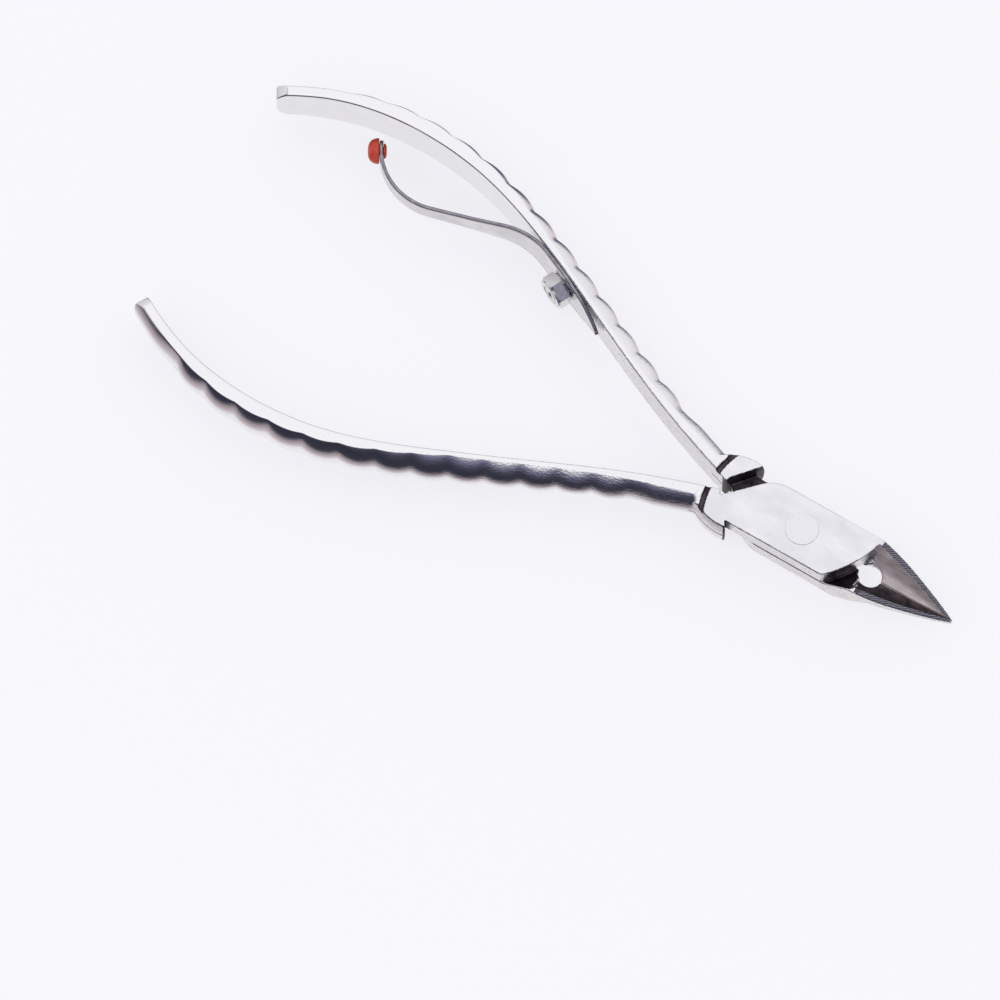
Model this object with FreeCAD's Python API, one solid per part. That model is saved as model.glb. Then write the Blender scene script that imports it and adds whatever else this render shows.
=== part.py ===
import FreeCAD, Part
import math
import os

# Cuticle nipper, closed, with its leaf spring turned back out of the way.
# Millimetres.  The origin is on the pivot axis, in the flat front face of the joint.
# +X runs to the jaw tips, +Y to the handle that carries the spring, and +Z is the
# pivot axis, pointing to the hollow side of the jaws.

# ---- joint (two half-laps on one rivet) ----
lap_thickness = 5.2
lap_gap = 0.06
lap_half_width = 3.85
lap_front_corner = 9.1
lap_front_middle = 7.75
lap_back_corner = 4.9
shoulder_gap = 1.75
run_out_radius = 12.9
run_out_slope = 0.45

# ---- rivet ----
rivet_shank_radius = 1.5
rivet_head_radius = 2.55
rivet_head_depth = 0.9
rivet_head_ring_gap = 0.07
rivet_tail_radius = 2.0
rivet_tail_depth = 0.6
rivet_running_clearance = 0.04

# ---- handles ----
grip_height = 8.5
tail_height = 6.4
joint_end_height = 5.5
flare_start_x = -27.0
flare_end_x = -59.0
handle_thickness = 2.65
tail_thickness = 2.0
tail_taper_start_x = -66.0
tail_taper_end_x = -82.5
side_strip_grip = 1.25
side_strip_middle = 0.55
side_strip_joint = 1.3
inner_edge_chamfer = 0.22
tail_corner_radius = 2.6
scallop_pitch = 4.4
scallop_depth = 0.45
scallop_first_x = -21.5
scallop_count = 13
stations_per_scallop = 4

# Inner face of a handle in plan: (distance behind the pivot, distance from the middle).
inner_line = [(11.3, 0.7), (24.0, 5.45), (36.0, 11.0), (48.0, 16.35), (56.0, 18.95),
              (64.0, 20.0), (74.0, 19.05), (83.4, 15.05)]

# ---- jaws ----
jaw_tip_x = 21.0
jaw_tip_top = 2.45
jaw_heel_x = lap_front_corner
jaw_side_heel = 1.9
jaw_side_tip = 0.45
heel_ramp_start_x = 6.6
heel_ramp_end_x = 11.2
jaw_outline = [(12.0, 3.3), (15.5, 2.25), (18.5, 1.15)]
cutting_edge_heel_z = 1.2
cutting_edge_tip_z = 1.75
jaw_gap = 0.05
heel_ramp_run = 3.3
lap_swing_gap = 0.35
hollow_heel_radius = 3.15
hollow_middle_radius = 1.92
hollow_middle_x = 14.5
hollow_tip_x = 20.4
hollow_drop = 0.03
throat_radius = 1.45
throat_x = 9.6

# ---- leaf spring ----
screw_behind_pivot = 41.0
leaf_thickness = 0.45
leaf_standoff = 0.1
leaf_root_length = 7.5
leaf_root_lift = 0.4
leaf_flat_length = 4.0
leaf_rise_angle = 40.0
leaf_rise_radius = 9.3
leaf_run_length = 9.4
leaf_curl_radius = 8.1
leaf_curl_angle = 85.0
leaf_width_root = 1.5
leaf_width_screw = 6.8
leaf_width_middle = 3.2
leaf_width_tip = 2.7

# ---- screw and bead ----
hex_across_flats = 3.9
hex_height = 1.95
hex_chamfer = 0.35
screw_radius = 1.0
screw_depth = 1.7
screw_hole_clearance = 0.08
bead_radius = 1.6
bead_height = 1.4
bead_button_radius = 0.95
bead_button_height = 0.4
bead_neck_radius = 0.6
bead_inset = 1.3
bead_neck_clearance = 0.03
bead_button_lift = 0.08

V = FreeCAD.Vector
mid_z = lap_thickness / 2.0
UP = V(0, 0, 1)


def blend(a, b, t):
    """Smooth change from a to b as t goes from 0 to 1."""
    t = max(0.0, min(1.0, t))
    k = t * t * (3.0 - 2.0 * t)
    return a + (b - a) * k


def prism(edges, z0, z1):
    """Upright solid over a closed plan outline."""
    wire = Part.Wire(edges)
    wire.translate(V(0, 0, z0))
    return Part.Face(wire).extrude(V(0, 0, z1 - z0))


def line(p, q):
    return Part.makeLine(V(p[0], p[1], 0), V(q[0], q[1], 0))


def arc(p, m, q):
    return Part.Arc(V(p[0], p[1], 0), V(m[0], m[1], 0), V(q[0], q[1], 0)).toShape()


# Everything below builds the half whose handle is at +Y and whose jaw is at -Y.
# The other half is its mirror image in Y with the lap plate at the other level.

def inner_curve():
    curve = Part.BSplineCurve()
    curve.interpolate([V(-back, off, 0) for back, off in inner_line])
    return curve


def frame_at(curve, x):
    """Point, direction to the tail, and outward normal on the inner face at x."""
    hits = curve.intersectCC(Part.LineSegment(V(x, -5, 0), V(x, 40, 0)))
    p = V(hits[0].X, hits[0].Y, 0)
    t = curve.tangent(curve.parameter(p))[0]
    t.normalize()
    n = V(t.y, -t.x, 0)
    if n.y < 0:
        n = n * -1.0
    return p, t, n


def scallop(distance):
    """Depth taken off the outer face at a distance along it from the first valley."""
    whole = scallop_count * scallop_pitch
    if distance < 0:
        return scallop_depth * blend(1.0, 0.0, -distance / scallop_pitch)
    if distance > whole:
        return scallop_depth * blend(1.0, 0.2, (distance - whole) / scallop_pitch)
    place = (distance / scallop_pitch) % 1.0
    return scallop_depth * (2.0 * place - 1.0) ** 2


def handle_section(p, n, x, depth_off):
    """One D-shaped section: flat inner face, narrow flat sides, crowned outer face."""
    flare = (x - flare_start_x) / (flare_end_x - flare_start_x)
    tall = blend(joint_end_height, grip_height, flare)
    taper = (x - tail_taper_start_x) / (tail_taper_end_x - tail_taper_start_x)
    h = blend(tall, tail_height, taper) / 2.0
    strip = blend(side_strip_joint, side_strip_middle, (x + 12.0) / -20.0)
    strip = blend(strip, side_strip_grip, (x + 46.0) / -20.0)
    thick = blend(handle_thickness, tail_thickness, taper) - depth_off
    c = inner_edge_chamfer

    def at(d, z):
        return p + n * d + UP * (mid_z + z)

    outer = Part.Arc(at(strip, h), at(thick, 0), at(strip, -h)).toShape()
    return Part.Wire([
        Part.makeLine(at(0, -h + c), at(0, h - c)),
        Part.makeLine(at(0, h - c), at(c, h)),
        Part.makeLine(at(c, h), at(strip, h)),
        outer,
        Part.makeLine(at(strip, -h), at(c, -h)),
        Part.makeLine(at(c, -h), at(0, -h + c)),
    ])


def handle():
    """Handle from inside the neck to the tail: one smooth span for each scallop."""
    curve = inner_curve()
    length = curve.length()
    start = frame_at(curve, scallop_first_x)[0]
    first = curve.length(curve.FirstParameter, curve.parameter(start))
    valleys = [first + k * scallop_pitch for k in range(scallop_count + 1)]
    breaks = [0.0, first - scallop_pitch] + valleys
    breaks = breaks + [valleys[-1] + scallop_pitch, length]
    faces = []
    for a, b in zip(breaks, breaks[1:]):
        wires = []
        for i in range(stations_per_scallop + 1):
            run = a + (b - a) * i / stations_per_scallop
            u = curve.parameterAtDistance(run, curve.FirstParameter)
            p = curve.value(u)
            t = curve.tangent(u)[0]
            n = V(t.y, -t.x, 0)
            n.normalize()
            if n.y < 0:
                n = n * -1.0
            wires.append(handle_section(p, n, p.x, scallop(run - first)))
        faces.extend(Part.makeLoft(wires, False, False).Faces)
        if a == 0.0:
            faces.append(Part.Face(wires[0]))
    faces.append(Part.Face(wires[-1]))
    shell = Part.Shell(faces)
    shell.sewShape()
    return Part.Solid(shell).cut(tail_corners())


def tail_corners():
    """What is cut away above and below to round the tail in side view."""
    curve = inner_curve()
    end = curve.value(curve.LastParameter)
    t = curve.tangent(curve.LastParameter)[0]
    r = tail_corner_radius
    cx = r - 0.2
    far = tail_height
    cutters = []
    for sign in (1.0, -1.0):
        cz = mid_z + sign * (tail_height / 2.0 - cx)
        k = r * math.sqrt(0.5)

        def p(x, z):
            return V(x, -6, cz + sign * z)

        edges = [
            Part.makeLine(p(cx, r), p(cx, far)),
            Part.makeLine(p(cx, far), p(-far, far)),
            Part.makeLine(p(-far, far), p(-far, 0)),
            Part.makeLine(p(-far, 0), p(cx - r, 0)),
            Part.Arc(p(cx - r, 0), p(cx - k, k), p(cx, r)).toShape(),
        ]
        form = Part.Face(Part.Wire(edges)).extrude(V(0, 12, 0))
        form.rotate(V(0, 0, 0), UP, math.degrees(math.atan2(-t.y, -t.x)))
        form.translate(V(end.x, end.y, 0))
        cutters.append(form)
    return cutters


def front_arc(offset):
    """Front edge of this half's own lap plate, from its handle side to its jaw side."""
    w = lap_half_width
    return arc((lap_back_corner + offset, w), (lap_front_middle + offset, 0),
               (lap_front_corner + offset, -w))


def lap_outline(z0, z1):
    """Joint block in plan: its back edge stands clear of the other half's shoulder."""
    w = lap_half_width
    corner = -7.1 + 0.16 * shoulder_gap
    edges = [
        line((-13.0, 1.5), (-10.3, 0.75)),
        line((-10.3, 0.75), (-9.7, 0.2)),
        line((-9.7, 0.2), (corner, 1.0 - w)),
        arc((corner, 1.0 - w), (-6.0, 0.25 - w), (-4.6, -w)),
        line((-4.6, -w), (lap_front_corner, -w)),
        front_arc(0.0),
        line((lap_back_corner, w), (-7.0, w)),
        arc((-7.0, w), (-10.2, w + 0.7), (-12.6, w - 0.25)),
        line((-12.6, w - 0.25), (-13.0, 1.5)),
    ]
    return prism(edges, z0, z1)


def neck():
    """Full-height root of the handle, ending in the shoulder wall."""
    top = lap_half_width + 1.0
    back = -14.0
    foot = (-11.42, 0.5)
    head = (-11.42 + (top - 0.5) * 0.8333, top)
    edges = [line((back, 0.5), foot), line(foot, head), line(head, (back, top)),
             line((back, top), (back, 0.5))]
    return lap_outline(0.0, lap_thickness).common(prism(edges, -1.0, lap_thickness + 1.0))


def jaw_top_z(x):
    slope = (lap_thickness - jaw_tip_top) / (jaw_tip_x - jaw_heel_x)
    return lap_thickness - (x - jaw_heel_x) * slope


def jaw_blank():
    """Jaw outline at full height, from the throat to the tip, on the -Y side."""
    w = lap_half_width
    outer = Part.BSplineCurve()
    points = [(jaw_heel_x, w)] + jaw_outline + [(jaw_tip_x, jaw_gap)]
    outer.interpolate([V(x, -y, 0) for x, y in points])
    edges = [
        line((3.0, -jaw_gap), (3.0, -w)),
        line((3.0, -w), (jaw_heel_x, -w)),
        outer.toShape(),
        line((jaw_tip_x, -jaw_gap), (3.0, -jaw_gap)),
    ]
    return prism(edges, 0.0, lap_thickness)


def jaw_top_cut():
    """Everything above the rim, which falls from the joint to the tip."""
    def p(x, z):
        return V(x, -8, z)
    far = jaw_tip_x + 2.0
    wire = Part.makePolygon([p(jaw_heel_x, lap_thickness), p(far, jaw_top_z(far)),
                             p(far, 9), p(jaw_heel_x, 9), p(jaw_heel_x, lap_thickness)])
    return Part.Face(wire).extrude(V(0, 16, 0))


def bevel_wire(x, half):
    """Triangle below the blade at x: cutting edge in the middle, rising outward."""
    t = (x - jaw_heel_x) / (jaw_tip_x - jaw_heel_x)
    edge_z = cutting_edge_heel_z + t * (cutting_edge_tip_z - cutting_edge_heel_z)
    side = jaw_side_heel + t * (jaw_side_tip - jaw_side_heel)
    reach = lap_half_width + 1.0
    rise = (jaw_top_z(x) - side - edge_z) / half * reach
    return low_wire(x, edge_z, edge_z + rise, reach)


def low_wire(x, edge_z, side_z, reach):
    a = V(x, 0.0, edge_z)
    b = V(x, -reach, side_z)
    c = V(x, -reach, -3.0)
    d = V(x, 0.0, -3.0)
    return Part.makePolygon([a, b, c, d, a])


def bevel_cut():
    """Front bevel of the blade, with the short ramp at its heel."""
    reach = lap_half_width + 1.0
    wires = [low_wire(heel_ramp_start_x, -0.02, -0.02, reach), bevel_wire(heel_ramp_end_x, 3.45),
             bevel_wire(15.5, 2.25), bevel_wire(jaw_tip_x + 0.5, 0.6)]
    return Part.makeLoft(wires, True, True)


def hollow_cut():
    """Ground hollow: an ogive whose axis falls with the rim."""
    slope = math.atan2(lap_thickness - jaw_tip_top, jaw_tip_x - jaw_heel_x)
    heel = jaw_heel_x - 0.2
    a = V(0, 0, 0)
    b = V(0, hollow_heel_radius, 0)
    m = V(hollow_middle_x - heel, hollow_middle_radius, 0)
    e = V(hollow_tip_x - heel, 0, 0)
    edges = [
        Part.makeLine(a, b),
        Part.Arc(b, m, e).toShape(),
        Part.makeLine(e, a),
    ]
    solid = Part.Face(Part.Wire(edges)).revolve(V(0, 0, 0), V(1, 0, 0), 360)
    solid.rotate(V(0, 0, 0), V(0, 1, 0), math.degrees(slope))
    solid.translate(V(heel, 0, jaw_top_z(heel) - hollow_drop))
    return solid


def swing_room(z_floor, z_open):
    """Room for the other half's lap plate: its outline plus a gap, ramping out.

    The other plate is this half's plate mirrored in Y.  The ramp leans from the lap
    level (z_floor) out to the open face (z_open)."""
    w = lap_half_width
    g = lap_swing_gap
    wires = []
    for z, run in ((z_floor, 0.0), (z_open, heel_ramp_run)):
        edges = [
            line((-30.0, -9.0), (lap_back_corner + g + run - 1.0, -9.0)),
            line((lap_back_corner + g + run - 1.0, -9.0),
                 (lap_back_corner + g + run, -w)),
            line((lap_back_corner + g + run, -w), (lap_front_middle + g + run, 0.0)),
            line((lap_front_middle + g + run, 0.0), (lap_front_middle + g + run, 0.6)),
            line((lap_front_middle + g + run, 0.6), (-30.0, 0.6)),
            line((-30.0, 0.6), (-30.0, -9.0)),
        ]
        wire = Part.Wire(edges)
        wire.translate(V(0, 0, z))
        wires.append(wire)
    return Part.makeLoft(wires, True, True)


def run_out_cut(z_face, outward):
    """Shallow conical step where the milled joint face runs out into the handle."""
    depth = (joint_end_height - lap_thickness) / 2.0
    rise = (depth + 0.2) * outward
    big = run_out_radius + run_out_slope * (depth + 0.2) / depth
    if outward > 0:
        return Part.makeCone(run_out_radius, big, abs(rise), V(0, 0, z_face))
    return Part.makeCone(big, run_out_radius, abs(rise), V(0, 0, z_face + rise))


def half(plate_low):
    """One forging: handle, neck, lap plate and jaw, before its holes are made."""
    low_top = mid_z - lap_gap / 2.0
    high_low = mid_z + lap_gap / 2.0
    if plate_low:
        plate = lap_outline(0.0, low_top)
        room = swing_room(low_top, lap_thickness + 0.01)
    else:
        plate = lap_outline(high_low, lap_thickness)
        room = swing_room(high_low, -0.01)
    bevel = bevel_cut()
    jaw = jaw_blank().cut(jaw_top_cut()).cut(bevel).cut(room)
    plate = plate.cut(bevel)
    grip = handle()
    grip = grip.cut(run_out_cut(lap_thickness, 1)).cut(run_out_cut(0.0, -1))
    body = plate.fuse([neck(), jaw, grip])
    body = body.cut(hollow_cut())
    throat = Part.makeCylinder(throat_radius, lap_thickness + 2, V(throat_x, 0, -1))
    return body.cut(throat).removeSplitter()


def mirrored(shape):
    return shape.mirror(V(0, 0, 0), V(0, 1, 0))


def rivet_solid(extra, tail_extra, head_extra):
    """Rivet, or the space for it, grown by a clearance on each of its three sizes."""
    top = lap_thickness
    shank = Part.makeCylinder(rivet_shank_radius + extra, top)
    head = Part.makeCylinder(rivet_head_radius + head_extra, rivet_head_depth)
    tail = Part.makeCone(rivet_shank_radius + tail_extra, rivet_tail_radius + tail_extra,
                         rivet_tail_depth, V(0, 0, top - rivet_tail_depth))
    return shank.fuse([head, tail]).removeSplitter()


def screw_frame():
    """Point on the inner face under the screw, direction to the tail, inward normal."""
    p, t, n = frame_at(inner_curve(), -screw_behind_pivot)
    if t.x > 0:
        t = t * -1.0
    return p + UP * mid_z, t, n * -1.0


def on_screw(shape):
    """Move a shape from local axes (X to the tail, Y down, Z inward) to the screw."""
    p, t, n = screw_frame()
    m = FreeCAD.Matrix(t.x, 0, n.x, p.x,
                       t.y, 0, n.y, p.y,
                       0, -1, 0, p.z,
                       0, 0, 0, 1)
    return shape.transformed(m)


def leaf_side_points(shift):
    """Turning points of one face of the leaf, shifted along its own normal."""
    base = leaf_standoff + leaf_thickness / 2.0
    a = math.radians(leaf_rise_angle)
    down = a - math.radians(leaf_curl_angle)
    x1, z1 = leaf_flat_length, base
    cx, cz = x1, z1 + leaf_rise_radius
    x2 = cx + leaf_rise_radius * math.sin(a)
    z2 = cz - leaf_rise_radius * math.cos(a)
    x3 = x2 + leaf_run_length * math.cos(a)
    z3 = z2 + leaf_run_length * math.sin(a)
    dx = x3 + leaf_curl_radius * math.sin(a)
    dz = z3 - leaf_curl_radius * math.cos(a)
    r1 = leaf_rise_radius - shift
    r2 = leaf_curl_radius + shift

    def up(angle):
        return V(cx + r1 * math.sin(angle), 0, cz - r1 * math.cos(angle))

    def over(angle):
        return V(dx - r2 * math.sin(angle), 0, dz + r2 * math.cos(angle))

    bend = -0.35 * leaf_root_length
    return [V(-leaf_root_length, 0, base + shift + leaf_root_lift), V(bend, 0, base + shift),
            up(0.0), up(a / 2), up(a), over(a), over((a + down) / 2), over(down)]


def leaf_band(width):
    """Plain band of the leaf, as wide as its widest place."""
    lo = leaf_side_points(-leaf_thickness / 2.0)
    hi = leaf_side_points(leaf_thickness / 2.0)

    def side(q):
        return [Part.makeLine(q[0], q[1]), Part.makeLine(q[1], q[2]),
                Part.Arc(q[2], q[3], q[4]).toShape(), Part.makeLine(q[4], q[5]),
                Part.Arc(q[5], q[6], q[7]).toShape()]

    edges = side(lo) + [Part.makeLine(lo[7], hi[7])] + side(hi)
    edges = edges + [Part.makeLine(hi[0], lo[0])]
    wire = Part.Wire(Part.__sortEdges__(edges))
    wire.translate(V(0, -width / 2.0, 0))
    return Part.Face(wire).extrude(V(0, width, 0))


def leaf_outline(far):
    """Face-on outline of the leaf: pointed root, wide at the screw, slim towards the tip."""
    root = leaf_width_root / 2.0
    wide = leaf_width_screw / 2.0
    slim = leaf_width_middle / 2.0
    tip = leaf_width_tip / 2.0
    side = [(0.5 - leaf_root_length, root), (-3.6, wide - 0.75), (0.0, wide),
            (3.6, wide - 0.2), (8.5, slim + 0.75), (13.5, slim), (far - tip, tip)]
    upper = Part.BSplineCurve()
    upper.interpolate([V(x, y, 0) for x, y in side])
    lower = Part.BSplineCurve()
    lower.interpolate([V(x, -y, 0) for x, y in reversed(side)])
    nose = Part.Arc(V(far - tip, tip, 0), V(far, 0, 0), V(far - tip, -tip, 0)).toShape()
    heel = Part.Arc(V(-leaf_root_length + 0.5, -root, 0), V(-leaf_root_length, 0, 0),
                    V(-leaf_root_length + 0.5, root, 0)).toShape()
    wire = Part.Wire([upper.toShape(), nose, lower.toShape(), heel])
    wire.translate(V(0, 0, -3))
    return Part.Face(wire).extrude(V(0, 0, 25))


def bead_place():
    """Middle of the leaf under the bead, and the leaf's normal there, in local axes."""
    down = math.radians(leaf_rise_angle - leaf_curl_angle)
    back = bead_inset / leaf_curl_radius
    q = leaf_side_points(0.0)
    tip = q[7]
    centre = V(tip.x + leaf_curl_radius * math.sin(down), 0,
               tip.z - leaf_curl_radius * math.cos(down))
    angle = down + back
    normal = V(-math.sin(angle), 0, math.cos(angle))
    return centre + normal * leaf_curl_radius, normal


def leaf_solid():
    q = leaf_side_points(0.0)
    leaf = leaf_band(leaf_width_screw + 1.0).common(leaf_outline(q[7].x + 0.2))
    hole = Part.makeCylinder(screw_radius + screw_hole_clearance, 6, V(0, 0, -3))
    spot, normal = bead_place()
    neck_hole = Part.makeCylinder(bead_neck_radius + bead_neck_clearance, 4, spot - normal * 2.0, normal)
    return leaf.cut(hole).cut(neck_hole)


def dome_arc(radius, rim, top):
    """Arc of a round cap whose centre is on the axis, from its rim to its top."""
    rise = top - rim
    ball = (radius * radius + rise * rise) / (2.0 * abs(rise))
    centre = top - math.copysign(ball, rise)
    middle = 0.5 * math.asin(radius / ball)
    over = V(ball * math.sin(middle), 0, centre + math.copysign(ball, rise) * math.cos(middle))
    return Part.Arc(V(radius, 0, rim), over, V(0, 0, top)).toShape()


def bead_solid():
    """Soft button: a big dome outside, a small one inside, a neck through the leaf."""
    t = leaf_thickness / 2.0 + 0.01
    under = t + bead_button_lift
    low = bead_height * 0.35
    small = bead_button_height

    def p(r, h):
        return V(r, 0, h)

    edges = [
        Part.makeLine(p(0, t + bead_height), p(0, -under - small)),
        dome_arc(bead_button_radius, -under, -under - small),
        Part.makeLine(p(bead_button_radius, -under), p(bead_neck_radius, -under)),
        Part.makeLine(p(bead_neck_radius, -under), p(bead_neck_radius, t)),
        Part.makeLine(p(bead_neck_radius, t), p(bead_radius * 0.94, t)),
        Part.makeLine(p(bead_radius * 0.94, t), p(bead_radius, t + low)),
        dome_arc(bead_radius, t + low, t + bead_height),
    ]
    profile = Part.Wire(Part.__sortEdges__(edges))
    solid = Part.Face(profile).revolve(V(0, 0, 0), UP, 360)
    spot, normal = bead_place()
    turn = FreeCAD.Rotation(UP, normal)
    solid.Placement = FreeCAD.Placement(spot, turn)
    return solid


def screw_solid():
    """Hexagon head with both ends chamfered, on a shank that fills its hole."""
    base = leaf_standoff + leaf_thickness + 0.03
    corner = hex_across_flats / math.sqrt(3.0)
    points = []
    for k in range(7):
        a = math.radians(60 * k + 30)
        points.append(V(corner * math.cos(a), corner * math.sin(a), base))
    head = Part.Face(Part.makePolygon(points)).extrude(V(0, 0, hex_height))
    keep = hex_across_flats / 2.0 + 0.02
    c = hex_chamfer

    def p(r, z):
        return V(r, 0, base + z)

    form = Part.makePolygon([p(0, 0), p(keep, 0), p(keep + 2 * c, c),
                             p(keep + 2 * c, hex_height - c), p(keep, hex_height),
                             p(0, hex_height), p(0, 0)])
    form = Part.Face(form).revolve(V(0, 0, 0), UP, 360)
    dimple = Part.makeCone(0.1, 0.75, 0.3, V(0, 0, base + hex_height - 0.3))
    shank = Part.makeCylinder(screw_radius, base + screw_depth + 0.2, V(0, 0, -screw_depth))
    return head.common(form).cut(dimple).fuse(shank).removeSplitter()


def main():
    os.makedirs("parts", exist_ok=True)
    spring_half = half(True)
    spring_half = spring_half.cut(rivet_solid(0.0, 0.0, rivet_head_ring_gap))
    blind = Part.makeCylinder(screw_radius, screw_depth + 2, V(0, 0, -screw_depth))
    spring_half = spring_half.cut(on_screw(blind))
    plain_half = mirrored(half(False))
    c = rivet_running_clearance
    plain_half = plain_half.cut(rivet_solid(c, c, 0.0))
    nodes = {
        "spring_side_half": spring_half,
        "plain_side_half": plain_half,
        "pivot_rivet": rivet_solid(0.0, 0.0, 0.0),
        "spring_screw": on_screw(screw_solid()),
        "leaf_spring": on_screw(leaf_solid()),
        "bumper_bead": on_screw(bead_solid()),
    }
    for name, shape in nodes.items():
        solid = shape if shape.ShapeType == "Solid" else shape.Solids[0]
        print(name, shape.ShapeType, len(shape.Solids), shape.isValid(),
              round(solid.Volume, 2), shape.BoundBox)
        solid.exportStep("parts/" + name + ".step")


main()
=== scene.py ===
# %% [markdown]
# # A cuticle nipper, from its joint outwards
#
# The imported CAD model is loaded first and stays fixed. It has two forged steel
# halves, a rivet, a leaf spring, its screw and a soft bumper bead. This lesson
# makes finer skins for them, in the same places, and gives each its own finish.

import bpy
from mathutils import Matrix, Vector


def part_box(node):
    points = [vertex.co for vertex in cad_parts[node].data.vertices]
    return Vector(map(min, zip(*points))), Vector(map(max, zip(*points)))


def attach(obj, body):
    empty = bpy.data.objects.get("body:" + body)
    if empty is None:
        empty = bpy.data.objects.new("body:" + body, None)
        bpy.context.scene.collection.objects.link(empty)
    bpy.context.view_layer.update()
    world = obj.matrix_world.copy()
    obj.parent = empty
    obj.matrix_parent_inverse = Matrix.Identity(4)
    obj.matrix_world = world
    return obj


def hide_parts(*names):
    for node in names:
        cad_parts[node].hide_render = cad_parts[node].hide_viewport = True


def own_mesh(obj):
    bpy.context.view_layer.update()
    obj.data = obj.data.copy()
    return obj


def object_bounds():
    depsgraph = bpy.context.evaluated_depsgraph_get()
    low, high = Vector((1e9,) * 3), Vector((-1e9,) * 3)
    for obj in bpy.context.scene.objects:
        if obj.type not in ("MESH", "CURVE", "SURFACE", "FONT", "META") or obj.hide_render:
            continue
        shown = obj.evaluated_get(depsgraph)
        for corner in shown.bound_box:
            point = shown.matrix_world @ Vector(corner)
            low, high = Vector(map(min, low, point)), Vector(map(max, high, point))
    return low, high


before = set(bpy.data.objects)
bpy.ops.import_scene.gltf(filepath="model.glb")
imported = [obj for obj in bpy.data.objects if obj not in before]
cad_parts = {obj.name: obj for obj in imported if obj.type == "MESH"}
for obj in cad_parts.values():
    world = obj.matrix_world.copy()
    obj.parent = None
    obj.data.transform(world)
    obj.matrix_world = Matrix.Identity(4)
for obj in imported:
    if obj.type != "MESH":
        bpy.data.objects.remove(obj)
cad_low, cad_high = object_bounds()
print("CAD box in mm:", [round(1000 * v, 2) for v in (*cad_low, *cad_high)])

# %% [markdown]
# All the working below is in millimetres, which suits a tool this small, and
# `to_object` turns the points into metres. The sizes are the maker's own: the
# thickness of the joint, the line of the handle's inner face and so on.

# %% Sizes that the pieces share
import math

import bmesh
import bpy
import numpy as np
from mathutils import Matrix, Vector

MM = 0.001
rivet_low, rivet_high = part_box("pivot_rivet")
LAP = (rivet_high.z - rivet_low.z) / MM
MID = LAP / 2
GAP = 0.06
HALF_WIDTH = 3.85
print("joint thickness", round(LAP, 3), "mm")

# %% [markdown]
# Smooth lines come first. `line_through` runs a curve through a few points with
# no kinks, the way a thin batten bends round pins on a drawing board.

# %% A batten line through points
def end_slope(t, p):
    """Slope of the parabola through three points, at the first of them."""
    a, b = t[1] - t[0], t[2] - t[0]
    return (p[1] - p[0]) * b / (a * (b - a)) - (p[2] - p[0]) * a / (b * (b - a))


def line_through(points, count=1500):
    """Evenly spaced points on a smooth curve through the given ones."""
    p = np.array(points, float)
    t = np.r_[0, np.cumsum(np.linalg.norm(np.diff(p, axis=0), axis=1))]
    step = np.diff(t)
    n = len(p)
    left, right = np.zeros((n, n)), np.zeros((n, 2))
    left[0, 0] = left[-1, -1] = 1
    right[0] = end_slope(t[:3], p[:3])
    right[-1] = -end_slope(-t[:-4:-1], p[:-4:-1])
    for i in range(1, n - 1):
        left[i, i - 1:i + 2] = step[i], 2 * (step[i - 1] + step[i]), step[i - 1]
        before = (p[i] - p[i - 1]) / step[i - 1]
        after = (p[i + 1] - p[i]) / step[i]
        right[i] = 3 * (step[i] * before + step[i - 1] * after)
    slope = np.linalg.solve(left, right)
    u = np.linspace(0, t[-1], count)
    i = np.clip(np.searchsorted(t, u) - 1, 0, n - 2)
    h = step[i][:, None]
    s = (u[:, None] - t[i][:, None]) / h
    return ((1 + 2 * s) * (1 - s) ** 2 * p[i] + s * (1 - s) ** 2 * h * slope[i]
            + s * s * (3 - 2 * s) * p[i + 1] + s * s * (s - 1) * h * slope[i + 1])


INNER = line_through([(-11.3, 0.7), (-24.0, 5.45), (-36.0, 11.0), (-48.0, 16.35),
                      (-56.0, 18.95), (-64.0, 20.0), (-74.0, 19.05), (-83.4, 15.05)])
RUN = np.r_[0, np.cumsum(np.linalg.norm(np.diff(INNER, axis=0), axis=1))]
JAW_SIDE = line_through([(9.1, 3.85), (12.0, 3.3), (15.5, 2.25), (18.5, 1.15), (21.0, 0.05)])
print("handle's inner face is", round(RUN[-1], 2), "mm long")

# %% [markdown]
# A piece made of rings needs only one builder: rings of points in order, joined
# by quads, with a face at each end. Handles, leaf, bead and screw all use it.

# %% Rings to a mesh
def to_object(name, points, faces, smooth=True):
    """Mesh object from points in millimetres."""
    mesh = bpy.data.meshes.new(name)
    mesh.from_pydata((np.asarray(points) * MM).tolist(), [], [list(f) for f in faces])
    mesh.update()
    mesh.shade_smooth()
    if not smooth:
        mesh.shade_flat()
    made = bpy.data.objects.new(name, mesh)
    bpy.context.scene.collection.objects.link(made)
    return made


def ring_faces(ring_count, ring_size, start=0, caps=True):
    """Quads between neighbouring rings, and a face at each end."""
    faces = []
    for i in range(ring_count - 1):
        a, b = start + i * ring_size, start + (i + 1) * ring_size
        for j in range(ring_size):
            k = (j + 1) % ring_size
            faces.append((a + j, a + k, b + k, b + j))
    if caps:
        faces.append(tuple(range(start, start + ring_size))[::-1])
        last = start + (ring_count - 1) * ring_size
        faces.append(tuple(range(last, last + ring_size)))
    return faces


def face_outwards(made):
    """Turn every face of a closed mesh to the outside."""
    work = bmesh.new()
    work.from_mesh(made.data)
    bmesh.ops.recalc_face_normals(work, faces=work.faces)
    work.to_mesh(made.data)
    work.free()
    return made


print("mesh tools ready: to_object, ring_faces, face_outwards")

# %% [markdown]
# The handle's section is a D: a flat inner face, two narrow flat sides and a
# crowned outer face. Every scallop takes a little off the crown. The corners are
# rounded with short curves, because a polished edge is never quite sharp.

# %% The handle's section
def ease(a, b, t):
    """From a to b with no kink at either end."""
    t = np.clip(t, 0.0, 1.0)
    return a + (b - a) * t * t * (3 - 2 * t)


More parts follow.
